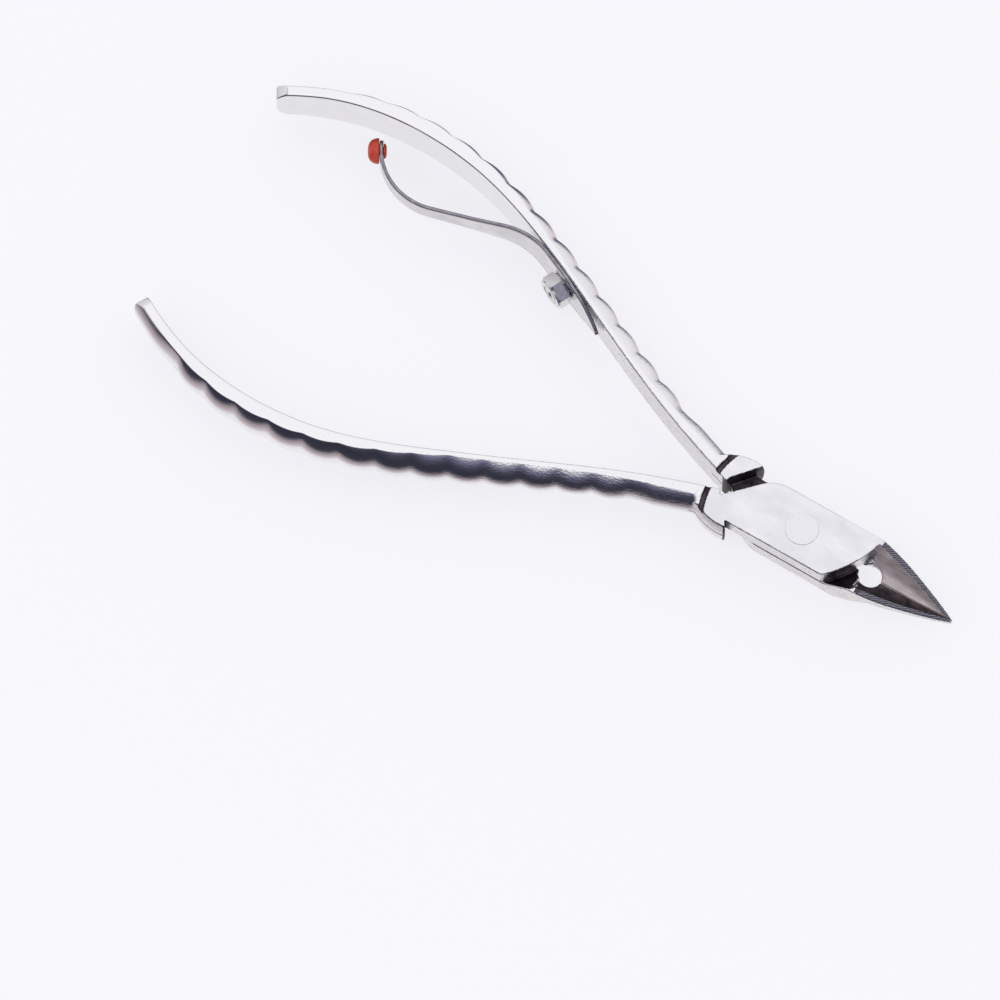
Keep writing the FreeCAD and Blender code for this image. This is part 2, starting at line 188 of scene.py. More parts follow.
SCALLOP_PITCH, SCALLOP_DEPTH, SCALLOPS = 4.4, 0.45, 13
FIRST_VALLEY = np.interp(21.5, -INNER[:, 0], RUN)


def scallop(run):
    """Depth taken off the crown at a distance along the handle."""
    d = run - FIRST_VALLEY
    whole = SCALLOPS * SCALLOP_PITCH
    inside = SCALLOP_DEPTH * (2 * ((d / SCALLOP_PITCH) % 1.0) - 1) ** 2
    before = SCALLOP_DEPTH * ease(1.0, 0.0, -d / SCALLOP_PITCH)
    after = SCALLOP_DEPTH * ease(1.0, 0.2, (d - whole) / SCALLOP_PITCH)
    return np.where(d < 0, before, np.where(d > whole, after, inside))


def handle_sizes(x, run):
    """Half height, side strip and thickness of the handle at x."""
    tall = ease(5.5, 8.5, (x + 27.0) / -32.0)
    taper = (x + 66.0) / -16.5
    h = ease(tall, 6.4, taper) / 2
    strip = ease(ease(1.3, 0.55, (x + 12.0) / -20.0), 1.25, (x + 46.0) / -20.0)
    thick = ease(2.65, 2.0, taper) - scallop(run)
    return h, strip, thick


def tail_limit(left):
    """Half height at the rounded tail.

    It is 3.4 from there on, so no part of the handle is taller than 6.8 mm, where
    the CAD handle reaches 8.5 mm. That is a known fault of this script."""
    r = 2.6
    reach = np.clip(r - 0.2 - left, 0.0, r)
    return 6.4 / 2 - (r - 0.2) + math.sqrt(r * r - reach * reach)


def rounded(a, corner, b, steps=4):
    """Points of a short curve that takes a corner off."""
    t = np.linspace(0, 1, steps)[:, None]
    a, corner, b = (np.array(q, float) for q in (a, corner, b))
    return (1 - t) ** 2 * a + 2 * t * (1 - t) * corner + t * t * b


def handle_ring(x, run, left):
    """Section as (outward, up) points, once round."""
    h, strip, thick = handle_sizes(x, run)
    bow = thick - strip
    radius = (h * h + bow * bow) / (2 * bow)
    h = min(h, tail_limit(left))
    top = math.asin(h / radius)
    strip = thick - radius + radius * math.cos(top)
    soft, crisp = 0.24, 0.13
    low = top - crisp / radius

    def crown(angle):
        return np.c_[thick - radius + radius * np.cos(angle), radius * np.sin(angle)]

    inner = np.c_[np.zeros(4), (h - soft) * np.array([0.0, 0.5, 0.85, 0.97])]
    flat = np.c_[np.linspace(soft, strip - crisp, 4)[1:-1], [h, h]]
    upper = np.vstack([inner, rounded((0, h - soft), (0, h), (soft, h), 5), flat,
                       rounded((strip - crisp, h), (strip, h), crown(low)[0], 4),
                       crown(low * np.linspace(1, 0, 12)[1:])])
    lower = upper[1:-1][::-1] * (1, -1)
    ring = np.vstack([upper, lower])
    edge = 0.35
    inset = edge - math.sqrt(max(edge ** 2 - max(edge - left, 0) ** 2, 0.0))
    towards = np.array([thick / 2, 0]) - ring
    return ring + towards / np.linalg.norm(towards, axis=1)[:, None] * inset


print("half height at x -60: planned", handle_sizes(-60.0, 50.0)[0],
      "used", round(float(handle_ring(-60.0, 50.0, 25.0)[:, 1].max()), 2))

# %% [markdown]
# The handle is a sweep of that section. It starts just inside the joint block and
# its rings crowd together at the tail, where the end is rounded off.

# %% Sweep one handle
HANDLE_START = 16.5


def handle_points():
    first = np.interp(HANDLE_START, -INNER[:, 0], RUN)
    whole = RUN[-1]
    tail = whole - np.r_[np.linspace(3, 0.5, 14), 0.35 * (1 - np.sin(np.linspace(0, 1.57, 6)))]
    runs = np.r_[first - 0.3, first, np.arange(first + 0.3, whole - 3.1, 0.275), tail]
    rings = []
    for run in runs:
        p = np.array([np.interp(run, RUN, INNER[:, k]) for k in (0, 1)])
        ahead = np.array([np.interp(run + s, RUN, INNER[:, k]) for s in (-0.2, 0.2)
                          for k in (0, 1)])
        if run > whole - 0.2:
            q = INNER[-1] - INNER[-12]
        else:
            q = ahead[2:] - ahead[:2]
        q = q / np.linalg.norm(q)
        out = np.array([q[1], -q[0]])
        ring = handle_ring(p[0], run, whole - run)
        if run < first:
            ring = ring + (np.array([1.2, 0]) - ring) * 0.03
        rings.append(np.c_[p + ring[:, :1] * out, MID + ring[:, 1]])
    return np.array(rings)


handle = handle_points()
print("handle rings:", handle.shape[0], "of", handle.shape[1], "points")

# %% [markdown]
# The joint block, the neck and the jaw of a half are ground out of one forging, with
# soft corners where a wheel has run. That suits carving by distance: each cutter is
# a formula that says how far a point is outside it, and cutters meet with a small
# fillet. `skin` then lays quads over the place where the distance is zero.

# %% Carving tools
def both(a, b, fillet):
    """Inside a and inside b, with the edge rounded."""
    h = np.maximum(fillet - np.abs(a - b), 0) / fillet
    return np.maximum(a, b) + h * h * fillet / 4


def either(a, b, fillet):
    """Inside a or inside b, with the inner corner filled."""
    return -both(-a, -b, fillet)


def plane(x, y, point, along):
    """Distance to the right of a line in plan."""
    ux, uy = np.array(along, float) / np.hypot(*along)
    return (x - point[0]) * uy - (y - point[1]) * ux


def circle_of(a, b, c):
    """Centre and radius of the circle through three points."""
    (ax, ay), (bx, by), (cx, cy) = a, b, c
    left = 2 * np.array([[bx - ax, by - ay], [cx - ax, cy - ay]])
    right = [bx * bx + by * by - ax * ax - ay * ay, cx * cx + cy * cy - ax * ax - ay * ay]
    centre = np.linalg.solve(left, right)
    return centre[0], centre[1], math.hypot(ax - centre[0], ay - centre[1])


def skin(solid, low, high, step):
    """Quads over the surface of a solid given as a distance formula."""
    axes = [np.arange(a, b + step, step) for a, b in zip(low, high)]
    grid = np.meshgrid(*axes, indexing="ij")
    field = solid(*grid)
    size = np.array(field.shape) - 1
    total, hits = np.zeros((*size, 3)), np.zeros(size)
    crossings = []
    for axis in range(3):
        a = np.moveaxis(field, axis, 0)
        cut = (a[:-1] < 0) != (a[1:] < 0)
        where = np.argwhere(cut)
        f0, f1 = a[:-1][cut], a[1:][cut]
        place = where.astype(float)
        place[:, 0] += f0 / (f0 - f1)
        order = [axis] + [k for k in range(3) if k != axis]
        back = np.argsort(order)
        where, place = where[:, back], place[:, back]
        u, v = [k for k in range(3) if k != axis]
        around = []
        for du, dv in ((0, 0), (1, 0), (1, 1), (0, 1)):
            cell = where.copy()
            cell[:, u] -= du
            cell[:, v] -= dv
            around.append(cell)
            np.add.at(total, tuple(cell.T), place)
            np.add.at(hits, tuple(cell.T), 1)
        crossings.append((np.stack(around, 1), f0 < 0, axis))
    used = hits > 0
    number = np.full(hits.shape, -1)
    number[used] = np.arange(used.sum())
    points = total[used] / hits[used][:, None] * step + np.array(low)
    quads = []
    for cells, rising, axis in crossings:
        q = number[cells[..., 0], cells[..., 1], cells[..., 2]]
        turn = rising if axis != 1 else ~rising
        q[~turn] = q[~turn][:, ::-1]
        quads.append(q)
    return points, np.vstack(quads)


def settle(points, quads, solid, rounds=3):
    """Slide the points to an even spread, each exactly on the surface."""
    e = 0.004
    for k in range(rounds + 1):
        if k:
            total, count = np.zeros_like(points), np.zeros(len(points))
            for a, b in ((0, 1), (1, 2), (2, 3), (3, 0)):
                np.add.at(total, quads[:, a], points[quads[:, b]])
                np.add.at(total, quads[:, b], points[quads[:, a]])
                np.add.at(count, quads[:, a], 1)
                np.add.at(count, quads[:, b], 1)
            points = 0.5 * points + 0.5 * total / count[:, None]
        for _ in range(3):
            value = solid(*points.T)
            slope = np.stack([(solid(*(points + d).T) - solid(*(points - d).T)) / (2 * e)
                              for d in np.eye(3) * e], 1)
            length = np.maximum((slope ** 2).sum(1), 0.2)
            points = points - slope * np.clip(value / length, -0.1, 0.1)[:, None]
    return points


print("tools ready: both, either, plane, circle_of, skin, settle")

# %% [markdown]
# One half, from its plan: the lap plate has straight sides, a front edge that is an
# arc, and a back edge set at an angle, clear of the other half's shoulder. The neck
# behind it is full height and swells a little at mid height.

# %% Lap plate, neck and the start of the handle
FRONT = circle_of((4.9, 3.85), (7.75, 0.0), (9.1, -3.85))
BULGE = circle_of((-6.0, 3.75), (-10.0, 4.55), (-12.6, 3.6))
EDGE = 0.22


def front_x(y, side):
    """Front edge of a lap plate at y; side is 1 for a half's own plate."""
    cx, cy, r = FRONT
    return cx + np.sqrt(np.maximum(r * r - (y - side * cy) ** 2, 0.01))


def lap_plate(x, y, z, floor, roof):
    """Distance outside a lap plate between two levels."""
    cx, cy, r = FRONT
    arc = np.hypot(x - cx, y - cy) - r
    back = plane(x, y, (-9.7, 0.2), (2.88, -3.05))
    plan = both(both(y - HALF_WIDTH, arc, 0.25), both(-y - HALF_WIDTH, back, 1.5), 0.3)
    return both(plan, np.maximum(floor - z, z - roof), EDGE)


def neck(x, y, z):
    """Distance outside the full height neck behind the plate."""
    cx, cy, r = BULGE
    crown = 0.3 * (1 - ((z - MID) / MID) ** 2)
    outer = np.hypot(x - cx, y - cy) - r - crown
    wall = plane(x, y, (-11.42, 0.5), (3.62, 4.35))
    inner = plane(x, y, (-10.3, 0.75), (2.7, -0.75))
    back = -13.3 - x
    plan = both(both(outer, wall, 0.3), both(inner, back, 0.4), 0.2)
    return both(plan, np.abs(z - MID) - MID, EDGE)


def handle_root(x, y, z):
    """First straight stretch of the handle, as the sweep has it."""
    slope = np.gradient(INNER[:, 1], INNER[:, 0])
    order = np.argsort(INNER[:, 0])
    here = np.interp(x, INNER[order, 0], INNER[order, 1])
    tilt = np.interp(x, INNER[order, 0], slope[order])
    out = (y - here) / np.sqrt(1 + tilt * tilt)
    along = x - out * tilt / np.sqrt(1 + tilt * tilt)
    h, strip, thick = handle_sizes(along, np.interp(-along, -INNER[:, 0], RUN))
    bow = thick - strip
    radius = (h * h + bow * bow) / (2 * bow)
    crown = np.hypot(out - thick + radius, z - MID) - radius
    sides = both(both(crown, np.abs(z - MID) - h, 0.16), -out, 0.3)
    return np.maximum(sides, x + 11.0)


def behind_start(x, y):
    """Distance towards the tail from where the sweep takes over."""
    k = np.argmin(np.abs(INNER[:, 0] + HANDLE_START))
    q = INNER[k + 5] - INNER[k - 5]
    return ((x - INNER[k, 0]) * q[0] + (y - INNER[k, 1]) * q[1]) / np.hypot(*q)


RUN_OUT = 12.25


def milled(x, y, z):
    """What the cutter that faced the joint took away: a flat, ending in a round groove."""
    reach = np.hypot(x, y)
    height = np.abs(z - MID) - MID
    flat = both(reach - RUN_OUT, -height, 0.05)
    groove = np.hypot(reach - RUN_OUT - 0.24, height - 0.1) - 0.36
    return either(flat, groove, 0.05)


print("plate front is an arc of radius", round(FRONT[2], 2), "mm")

# %% [markdown]
# The jaw is a blade: its outer side curves to the point, its rim falls from the
# joint to the tip, two flat bevels meet below at the cutting edge, and a pointed
# hollow is ground out between the two jaws from above.

# %% Jaw
LOWER_X = [-50.0, 6.6, 11.2, 15.5, 21.5]
LOWER_EDGE = [-0.02, -0.02, 1.297, 1.496, 1.773]
LOWER_SLOPE = [0.0, 0.0, 0.514, 0.491, 0.287]
RIM_SLOPE = (LAP - 2.45) / (21.0 - 9.1)
RIM_ANGLE = math.atan(RIM_SLOPE)
HOLLOW = circle_of((0.0, 3.15), (5.6, 1.92), (11.5, 0.0))


def rim_z(x):
    """Level of the jaw's rim."""
    return LAP - (x - 9.1) * RIM_SLOPE


def under_jaw(x, y, z):
    """Distance below the two bevels that meet at the cutting edge."""
    edge = np.interp(x, LOWER_X, LOWER_EDGE)
    slope = np.interp(x, LOWER_X, LOWER_SLOPE)
    return (edge + slope * np.abs(y) - z) / np.sqrt(1 + slope * slope)


def hollow(x, y, z, back):
    """The ground hollow; back is how far it reaches towards the joint."""
    a = (x - 8.9) * math.cos(RIM_ANGLE) - (z - rim_z(8.9) + 0.03) * math.sin(RIM_ANGLE)
    v = (x - 8.9) * math.sin(RIM_ANGLE) + (z - rim_z(8.9) + 0.03) * math.cos(RIM_ANGLE)
    ca, cr, r = HOLLOW
    return both(np.hypot(a - ca, np.hypot(y, v) - cr) - r, back - x, 0.3)


def jaw(x, y, z, open_up):
    """Jaw on the -Y side; open_up is 1 where the other half's plate lies above."""
    side = np.where(x < 9.1, HALF_WIDTH, np.interp(x, JAW_SIDE[:, 0], JAW_SIDE[:, 1]))
    outer = (-y - side) * 0.93
    plan = both(both(outer, y + 0.05, 0.05), np.maximum(4.0 - x, x - 21.0), 0.05)
    rim = np.maximum((z - rim_z(x)) * math.cos(RIM_ANGLE), z - LAP)
    body = both(both(plan, rim, 0.08), under_jaw(x, y, z), 0.08)
    level = MID - open_up * GAP / 2
    rise = (z - level) * open_up
    reach = (x - front_x(y, -1) - 0.35 - rise * 1.255) * 0.623
    return both(body, -both(-rise, reach, 0.1), 0.15)


print("rim falls", round(math.degrees(RIM_ANGLE), 1), "degrees towards the tip")

# %% [markdown]
# A half joins the plate, the neck and the root of the handle. The run-out round the
# joint is taken away before the blade is added, so that its groove doesn't cross
# the jaw. The hollow, the throat and the rivet's hole are cut last.

# %% One half as a solid
def half(x, y, z, plate_low):
    """The whole joint end of a half, with its handle towards +Y."""
    floor, roof = (0.0, MID - GAP / 2) if plate_low else (MID + GAP / 2, LAP)
    plate = lap_plate(x, y, z, floor, roof)
    body = either(plate, neck(x, y, z), 0.15)
    body = either(body, handle_root(x, y, z), 0.35)
    past = behind_start(x, y)
    body = np.maximum(body + 0.05 * ease(0.0, 0.3, past), past - 1.5)
    body = both(body, -milled(x, y, z), 0.12)
    blade = jaw(x, y, z, 1 if plate_low else -1)
    plate_front = both(body, under_jaw(x, y, z), 0.1)
    faces = np.where(x > 0.0, np.abs(z - MID) - MID, -5.0)
    body = np.maximum(either(plate_front, blade, 0.08), faces)
    back = 8.9 if plate_low else front_x(y, 1) + 0.05
    body = both(body, -hollow(x, y, z, back), 0.1)
    throat = 1.45 - np.hypot(x - 9.6, y)
    body = both(body, throat, 0.2)
    around = np.hypot(x, y)
    if plate_low:
        hole = np.where(z < 0.9, 2.62, 1.5) - around
    else:
        hole = 1.5 + np.clip((z - LAP + 0.6) / 0.6, 0, 1) * 0.52 - around
    return np.maximum(body, hole)


TIP_FROM, TIP_DRAW = 17.0, 0.05
BOX_FIT = 0.9996
BLENDED_RINGS = 12


def make_half(name, plate_low, step=0.13):
    """Carved joint end and swept handle of a half, in one mesh.

    Meshing blunts the tip a little, so it is drawn out again; BOX_FIT keeps the
    handle inside the CAD box."""
    def solid(x, y, z):
        return half(x, y, z, plate_low)

    points, quads = skin(solid, (-18.5, -4.4, -0.6), (21.3, 7.6, 5.8), step)
    points = settle(points, quads, solid)
    points[:, 0] += np.clip(points[:, 0] - TIP_FROM, 0, None) * TIP_DRAW
    rings = handle * (1, BOX_FIT, 1)
    for i in range(1, BLENDED_RINGS):
        on_root = settle(rings[i], None, handle_root, rounds=0)
        rings[i] += (on_root - rings[i]) * (1 - (i - 1) / (BLENDED_RINGS - 1))
    rings = rings.reshape(-1, 3)
    sweep = ring_faces(len(handle), handle.shape[1], start=len(points))
    points = np.vstack([points, rings])
    if not plate_low:
        points = points * (1, -1, 1)
    made = face_outwards(to_object(name, points, quads.tolist() + sweep))
    print(name, "has", len(made.data.polygons), "faces")
    return made


spring_half = make_half("spring_side_forging", True)
plain_half = make_half("plain_side_forging", False)
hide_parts("spring_side_half")
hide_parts("plain_side_half")
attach(spring_half, "spring_side")
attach(plain_half, "plain_side")

# %% [markdown]
# The spring screw stands on the inner face of the spring side handle, square to
# it. Its frame has X towards the tail, Y down and Z inwards, and the leaf and the
# bead are drawn in the same frame.

# %% Frame of the spring screw
PIVOT = np.array([-41.0, 13.3402, 2.6])
TO_TAIL = np.array([-0.909270, 0.416206, 0.0])
INWARD = np.array([-0.416206, -0.909270, 0.0])
DOWN = np.cross(INWARD, TO_TAIL)


def on_handle(points):
    """From the screw's frame to the frame of the whole tool."""
    p = np.asarray(points, float)
    return PIVOT + p[:, :1] * TO_TAIL + p[:, 1:2] * DOWN + p[:, 2:] * INWARD


print("screw square to the inner face at", PIVOT)

# %% [markdown]
# The leaf is one strip of spring steel. It lies flat under the screw, rises
# towards the middle of the tool and curls over at its free end. Its width changes
# along the strip, and both ends are round.

# %% Leaf spring
LEAF_THICK = 0.45
LEAF_LEVEL = 0.1 + LEAF_THICK / 2
RISE, CURL = math.radians(40), math.radians(85)
RISE_RADIUS, CURL_RADIUS, LEAF_RUN = 9.3, 8.1, 9.4


def leaf_path(count=150):
    """Points and directions along the strip, in the screw's X and Z."""
    t = np.linspace(0, 1, count)
    root = np.c_[-7.5 + 4.9 * t, LEAF_LEVEL + 0.4 * (1 - t) ** 2]
    flat = np.c_[-2.6 + 6.6 * t, np.full(count, LEAF_LEVEL)]
    a = RISE * t
    rise = flat[-1] + RISE_RADIUS * np.c_[np.sin(a), 1 - np.cos(a)]
    run = rise[-1] + LEAF_RUN * t[:, None] * [math.cos(RISE), math.sin(RISE)]
    a = RISE - CURL * t
    centre = run[-1] + CURL_RADIUS * np.array([math.sin(RISE), -math.cos(RISE)])
    curl = centre + CURL_RADIUS * np.c_[-np.sin(a), np.cos(a)]
    line = np.vstack([root, flat[1:], rise[1:], run[1:], curl[1:]])
    s = np.r_[0, np.cumsum(np.linalg.norm(np.diff(line, axis=0), axis=1))]
    even = np.linspace(0, s[-1], 170)
    line = np.c_[np.interp(even, s, line[:, 0]), np.interp(even, s, line[:, 1])]
    way = np.gradient(line, axis=0)
    return even, line, way / np.linalg.norm(way, axis=1)[:, None]


def leaf_half_width(s, total):
    """Half width of the strip at distance s from its root end."""
    marks = [0.0, 0.5, 3.9, 7.5, 11.1, 16.0, 22.0, 28.0, total]
    widths = [0.62, 0.78, 2.65, 3.4, 3.2, 2.35, 1.6, 1.38, 1.33]
    wide = np.interp(s, marks, widths)
    for end in (s, total - s):
        r = 0.62 if end is s else 1.33
        inside = np.clip(end, 0, r)
        wide = np.where(end < r, np.sqrt(r * r - (r - inside) ** 2) * wide / r, wide)
    return np.maximum(wide, 0.05)


def make_leaf():
    """The strip, as thin rings along its path."""
    s, line, way = leaf_path()
    wide = leaf_half_width(s, s[-1])
    wide[1:-1] = (wide[:-2] + 2 * wide[1:-1] + wide[2:]) / 4
    rings = []
    for (x, z), (dx, dz), w in zip(line, way, wide):
        r = min(0.12, w * 0.6)
        h = LEAF_THICK / 2
        across = np.r_[np.linspace(-1, 1, 9) * (w - r), [w - r * 0.3, w, w - r * 0.3]]
        height = np.r_[np.full(9, h), [h - r * 0.3, 0, -h + r * 0.3]]
        ring = np.c_[np.r_[across, -across], np.r_[height, -height]]
        rings.append(np.c_[x - dz * ring[:, 1], ring[:, 0], z + dx * ring[:, 1]])
    points = on_handle(np.vstack(rings))
    return face_outwards(to_object("leaf_strip", points, ring_faces(len(rings), 24)))


leaf = make_leaf()
print("leaf spans", [round(v / MM, 1) for v in leaf.dimensions], "mm")

# %% [markdown]
# The bumper bead and the screw are both turned shapes, so both come from a
# profile spun about its own axis. The screw's head is then cut to six flats.

# %% Bead and screw
def spin(profile, centre, axis, count=64, flats=None):
    """Rings of a turned shape in the screw's frame; flats limits its radius."""
    axis = np.array(axis, float) / np.linalg.norm(axis)
    side = np.cross(axis, (0, 1, 0))
    side /= np.linalg.norm(side)
    other = np.cross(axis, side)
    a = np.linspace(0, 2 * math.pi, count, endpoint=False)
    rings = []
    for r, h in profile:
        reach = np.full(count, r)
        if flats:
            turn = (a + math.pi / 6) % (math.pi / 3) - math.pi / 6
            reach = np.minimum(reach, flats / np.cos(turn))
        rings.append(centre + axis * h + reach[:, None]
                     * (np.cos(a)[:, None] * side + np.sin(a)[:, None] * other))
    return np.vstack(rings), ring_faces(len(rings), count)


def make_bead():
    """Soft dome on the outside of the curl, its button on the inside."""
    _, line, way = leaf_path()
    s = len(line) - 1 - int(round(1.3 / 0.221))
    (x, z), (dx, dz) = line[s], way[s]
    h = LEAF_THICK / 2
    t = np.linspace(0, math.pi / 2, 14)
    dome = [(1.6 * math.cos(v) ** 0.65, h + 0.06 + 1.34 * math.sin(v)) for v in t[:-1]]
    dome.append((0.02, h + 1.4))
    button = [(0.02, -h - 0.48), (0.5, -h - 0.47), (0.82, -h - 0.38), (0.95, -h - 0.2)]
    button += [(0.93, -h - 0.09), (0.57, -h - 0.08), (0.57, h + 0.02), (1.5, h + 0.02)]
    points, faces = spin(button + dome, np.array([x, 0, z]), (-dz, 0, dx))
    return face_outwards(to_object("bead_of_soft_plastic", on_handle(points), faces))


def make_screw():
    """Six flats with both ends chamfered, a ring and a dimple on the end."""
    base, top = 0.58, 2.53
    flat, corner = 1.95, 1.95 / math.cos(math.pi / 6)
    profile = [(0.02, base), (1.78, base), (1.86, base + 0.02), (corner + 0.02, base + 0.34)]
    profile += [(corner + 0.02, top - 0.34), (1.9, top - 0.03), (1.82, top), (1.32, top)]
    profile += [(1.24, top - 0.08), (1.12, top - 0.08), (1.04, top), (0.55, top)]
    profile += [(0.3, top - 0.12), (0.02, top - 0.2)]
    points, faces = spin(profile, np.zeros(3), (0, 0, 1), 96, flat)
    shank, more = spin([(0.02, -1.6), (1.0, -1.6), (1.0, 0.6), (0.02, 0.6)], np.zeros(3), (0, 0, 1))
    faces += [tuple(v + len(points) for v in f) for f in more]
    return face_outwards(to_object("hex_screw", on_handle(np.vstack([points, shank])), faces,
                                   smooth=False))


bead = make_bead()
screw = make_screw()
for made, node, body, finish in ((leaf, "leaf_spring", "spring", "spring_steel"),
                                 (bead, "bumper_bead", "spring", "bumper"),
                                 (screw, "spring_screw", "spring_side", "screw_steel")):
    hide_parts(node)
    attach(made, body)
    print(made.name, "stands in for", node)

# %% [markdown]
# A real leaf bends, and a rigid body can't. Here the leaf and the bead each get
# their own copy of their mesh.

# %% The leaf and the bead get meshes of their own
for soft in (leaf, bead):
    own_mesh(soft)

# %% [markdown]
# Now the finishes. Each is made from noise and stripes in the piece's own space,
# so nothing slides when a piece moves. `grain` is stretched noise: long along one
# axis and fine across it, like the marks of a belt or a wheel.

# %% Tools for the finishes
def new_finish(name, colour, rough, metal=1.0):
    """A material and its shader."""
    made = bpy.data.materials.new(name)
    made.use_nodes = True
    shader = made.node_tree.nodes["Principled BSDF"]
    shader.inputs["Base Color"].default_value = (*colour, 1)
    shader.inputs["Roughness"].default_value = rough
    shader.inputs["Metallic"].default_value = metal
    return made, shader


def grain(made, scale, stretch=(1, 1, 1), turn=0.0, detail=4.0):
    """Noise in the piece's own space; returns its output."""
    nodes, links = made.node_tree.nodes, made.node_tree.links
    place = nodes.new("ShaderNodeTexCoord")
    fit = nodes.new("ShaderNodeMapping")
    fit.inputs["Scale"].default_value = stretch
    fit.inputs["Rotation"].default_value = (0, 0, turn)
    noise = nodes.new("ShaderNodeTexNoise")
    noise.inputs["Scale"].default_value = scale
    noise.inputs["Detail"].default_value = detail
    links.new(place.outputs["Object"], fit.inputs["Vector"])
    links.new(fit.outputs["Vector"], noise.inputs["Vector"])
    return noise.outputs["Fac"]


def stripes(made, scale, turn, bend=2.0):
    """Fine parallel marks across a rim; returns their output."""
    nodes, links = made.node_tree.nodes, made.node_tree.links
    place = nodes.new("ShaderNodeTexCoord")
    fit = nodes.new("ShaderNodeMapping")
    fit.inputs["Rotation"].default_value = (0, 0, turn)
    wave = nodes.new("ShaderNodeTexWave")
    wave.inputs["Scale"].default_value = scale
    wave.inputs["Distortion"].default_value = bend
    wave.inputs["Detail"].default_value = 3.0
    wave.inputs["Detail Scale"].default_value = 1.5
    links.new(place.outputs["Object"], fit.inputs["Vector"])
    links.new(fit.outputs["Vector"], wave.inputs["Vector"])
    return wave.outputs["Fac"]


def spread(made, source, low, high, start=0.3, end=0.7):
    """Map a 0 to 1 pattern to a range of values."""
    nodes, links = made.node_tree.nodes, made.node_tree.links
    fit = nodes.new("ShaderNodeMapRange")
    fit.inputs["From Min"].default_value = start
    fit.inputs["From Max"].default_value = end
    fit.inputs["To Min"].default_value = low
    fit.inputs["To Max"].default_value = high
    links.new(source, fit.inputs["Value"])
    return fit.outputs[0]


def shade(made, source, dark, pale, start=0.3, end=0.7):
    """Colour between two tones by a pattern."""
    nodes, links = made.node_tree.nodes, made.node_tree.links
    ramp = nodes.new("ShaderNodeValToRGB")
    ramp.color_ramp.elements[0].position = start
    ramp.color_ramp.elements[1].position = end
    ramp.color_ramp.elements[0].color = (*dark, 1)
    ramp.color_ramp.elements[1].color = (*pale, 1)
    links.new(source, ramp.inputs[0])
    links.new(ramp.outputs["Color"], nodes["Principled BSDF"].inputs["Base Color"])


def relief(made, source, depth, strength=1.0):
    """Raise the surface by a pattern, depth in metres."""
    nodes, links = made.node_tree.nodes, made.node_tree.links
    bump = nodes.new("ShaderNodeBump")
    bump.inputs["Distance"].default_value = depth
    if isinstance(strength, float):
        bump.inputs["Strength"].default_value = strength
    else:
        links.new(strength, bump.inputs["Strength"])
    links.new(source, bump.inputs["Height"])
    links.new(bump.outputs["Normal"], nodes["Principled BSDF"].inputs["Normal"])


def rougher(made, source, low, high, start=0.3, end=0.7):
    """Vary the roughness by a pattern."""
    links = made.node_tree.links
    shader = made.node_tree.nodes["Principled BSDF"]
    links.new(spread(made, source, low, high, start, end), shader.inputs["Roughness"])


print("tools ready: grain, stripes, spread, shade, relief, rougher")

# %% [markdown]
# The polished steel is bright and nearly smooth, with a little pitting that grows
# towards the joint, where the wheel didn't reach. The faced joint is brushed and the
# jaw rims are ground across. The far jaw's hollow is a darker ground steel, and the
# groove, the slot, the shoulder wall and the near jaw's hollow get painted shade, a
# near-black steel where shade and dark reflections fall.

# %% Steel of the halves
polished, _ = new_finish("polished_steel", (0.86, 0.86, 0.88), 0.12)
rougher(polished, grain(polished, 500), 0.07, 0.17)


def towards_joint(made):
    """0 at the tails, rising to 1 at the joint."""
    nodes, links = made.node_tree.nodes, made.node_tree.links
    place = nodes.new("ShaderNodeTexCoord")
    apart = nodes.new("ShaderNodeSeparateXYZ")
    links.new(place.outputs["Object"], apart.inputs[0])
    return spread(made, apart.outputs["X"], 0.12, 1.0, -0.055, -0.022)


relief(polished, grain(polished, 4600, detail=2.0), 0.00008, towards_joint(polished))

faced, _ = new_finish("faced_steel", (0.88, 0.88, 0.91), 0.34)
rougher(faced, grain(faced, 900, (1, 14, 14), 0.35), 0.26, 0.42)
shade(faced, grain(faced, 260, (1, 2, 2)), (0.74, 0.74, 0.79), (0.86, 0.86, 0.89))
relief(faced, grain(faced, 1500, (1, 16, 16), 0.35), 0.000003, 0.6)

ground, _ = new_finish("ground_rim", (0.25, 0.25, 0.28), 0.36)
shade(ground, stripes(ground, 1300, 0.9, 5.0), (0.04, 0.04, 0.055), (0.24, 0.24, 0.29), 0.2, 0.9)
rougher(ground, grain(ground, 2600), 0.28, 0.46)
relief(ground, stripes(ground, 1300, 0.9, 5.0), 0.000004, 0.7)

# Painted shade: a near-black steel for the groove, the slot, the shoulder wall and the near jaw's
# hollow, where shade and dark reflections fall.
painted_shade_steel, _ = new_finish("painted_shade_recess", (0.05, 0.042, 0.048), 0.42)
shade(painted_shade_steel, grain(painted_shade_steel, 900), (0.025, 0.02, 0.025), (0.11, 0.09, 0.10))
relief(painted_shade_steel, grain(painted_shade_steel, 2400), 0.00001, 0.5)

scooped, _ = new_finish("ground_hollow", (0.60, 0.53, 0.55), 0.4, 0.5)
shade(scooped, grain(scooped, 700, (1, 5, 1)), (0.46, 0.39, 0.41), (0.66, 0.58, 0.60))
rougher(scooped, grain(scooped, 1800, (1, 6, 1)), 0.34, 0.48)
relief(scooped, grain(scooped, 2200, (1, 7, 1)), 0.000004, 0.5)
print("steel finishes:", [m.name for m in (polished, faced, ground, painted_shade_steel, scooped)])

# %% [markdown]
# Every face of a half is looked at once: where it lies and which way it points
# say how it was worked, or that it gets painted shade. The sweep of the handle stays
# polished. The run-out groove, the slot between the halves, the shoulder wall and the
# ramp before the near jaw's throat get painted shade, a near-black steel standing in
# for shade and dark reflections. The hollow gets painted shade on one jaw and a pale
# ground finish on the other, which is a choice for looks.

# %% Which face gets which steel
# The fourth finish is painted shade, not a worked surface.
POLISHED, FACED, RIM, PAINTED_SHADE, SCOOPED = range(5)


